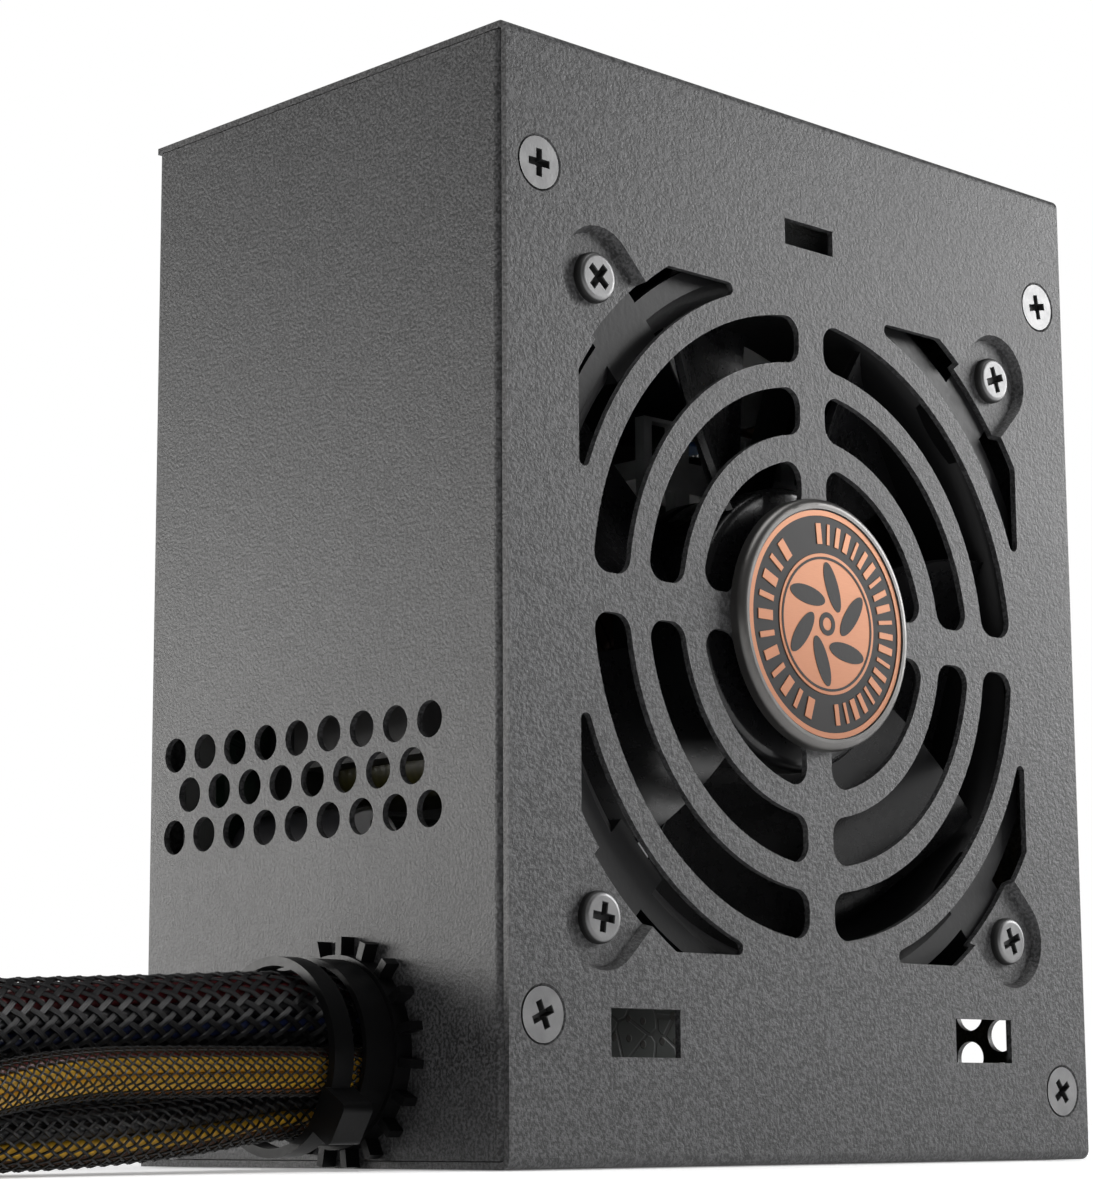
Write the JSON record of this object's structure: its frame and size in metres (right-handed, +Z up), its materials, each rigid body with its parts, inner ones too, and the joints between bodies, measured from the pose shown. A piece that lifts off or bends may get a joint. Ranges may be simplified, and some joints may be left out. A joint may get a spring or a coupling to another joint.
{
  "type": "power supply unit",
  "caption": "Small-format computer power supply: folded steel box with a fan behind a cut grille, a mains inlet with switch, and sleeved output cables.",
  "frame": {"origin": "middle of the end face that the unit stands on", "axes": "+X out of the mains wall, -X out of the cable wall, -Y out of the fan wall, +Z up along the longest side"},
  "size_m": [0.2822, 0.1689, 0.125],
  "materials": {
    "black_steel": "fine textured powder coat",
    "screw_steel": "zinc plated",
    "badge_metal": "printed copper and black on a domed disc",
    "black_plastic_gloss": "moulded, glossy",
    "magnet": "bonded ferrite",
    "bronze": "turned",
    "core_steel": "stacked sheets",
    "copper_wire": "enamelled wire",
    "circuit_board": "solder mask",
    "wire_insulation": "pvc",
    "white_nylon": "moulded",
    "clear_film": "polyester film",
    "capacitor_sleeve": "shrink sleeve",
    "winding_tape": "polyester tape",
    "ferrite": "ground",
    "bare_aluminium": "mill finish",
    "black_resin": "moulded epoxy",
    "yellow_box": "moulded box",
    "blue_epoxy": "dipped epoxy",
    "fuse_glass": "glass tube with metal caps",
    "pin_metal": "nickel plated",
    "black_plastic": "moulded nylon",
    "braided_sleeve": "braided polyester sleeve over coloured wires"
  },
  "bodies": {
    "housing": {"fan_side_cover": "black_steel", "chassis_tray": "black_steel", "cover_screws": "screw_steel", "fan_screws": "screw_steel", "grille_badge": "badge_metal", "fan_frame": "black_plastic_gloss", "fan_bearing": "bronze", "fan_stator_core": "core_steel", "fan_coils": "copper_wire", "fan_circuit": "circuit_board", "fan_lead": "wire_insulation", "fan_lead_plug": "white_nylon", "main_board": "circuit_board", "board_standoffs": "bronze", "board_screws": "screw_steel", "insulating_film": "clear_film", "bulk_capacitor": "capacitor_sleeve", "output_capacitors": "capacitor_sleeve", "transformer_winding": "winding_tape", "transformer_core": "ferrite", "standby_transformer": "winding_tape", "correction_choke": "copper_wire", "output_choke": "copper_wire", "line_filter_choke": "copper_wire", "primary_heatsink": "bare_aluminium", "secondary_heatsink": "bare_aluminium", "switching_transistors": "black_resin", "output_rectifiers": "black_resin", "bridge_rectifier": "black_resin", "film_capacitor": "yellow_box", "disc_capacitors": "blue_epoxy", "surge_varistor": "blue_epoxy", "line_fuse": "fuse_glass", "control_card": "circuit_board", "output_wires": "wire_insulation", "mains_wires": "wire_insulation", "mains_inlet": "black_plastic", "inlet_pins": "pin_metal", "inlet_screws": "screw_steel", "switch_frame": "black_plastic", "cable_bushing": "black_plastic", "cable_tie": "black_plastic", "main_cable": "braided_sleeve", "drive_cable": "braided_sleeve", "processor_cable": "braided_sleeve", "graphics_cable": "braided_sleeve", "main_plug": "black_plastic", "processor_plug": "black_plastic", "graphics_plug": "black_plastic", "drive_plug": "black_plastic"},
    "rotor": {"fan_rotor": "black_plastic_gloss", "rotor_magnet": "magnet", "fan_shaft": "screw_steel"},
    "rocker": {"switch_rocker": "black_plastic"}
  },
  "joints": [
    {"name": "fan_spin", "type": "hinge", "parent": "housing", "child": "rotor", "pos_m": [0, -0.0245, 0.0625], "axis": [0, 1, 0], "continuous": true},
    {"name": "switch_tilt", "type": "hinge", "parent": "housing", "child": "rocker", "pos_m": [0.0493, 0, 0.054], "axis": [0, 1, 0], "range_deg": [0, 20]}
  ]
}
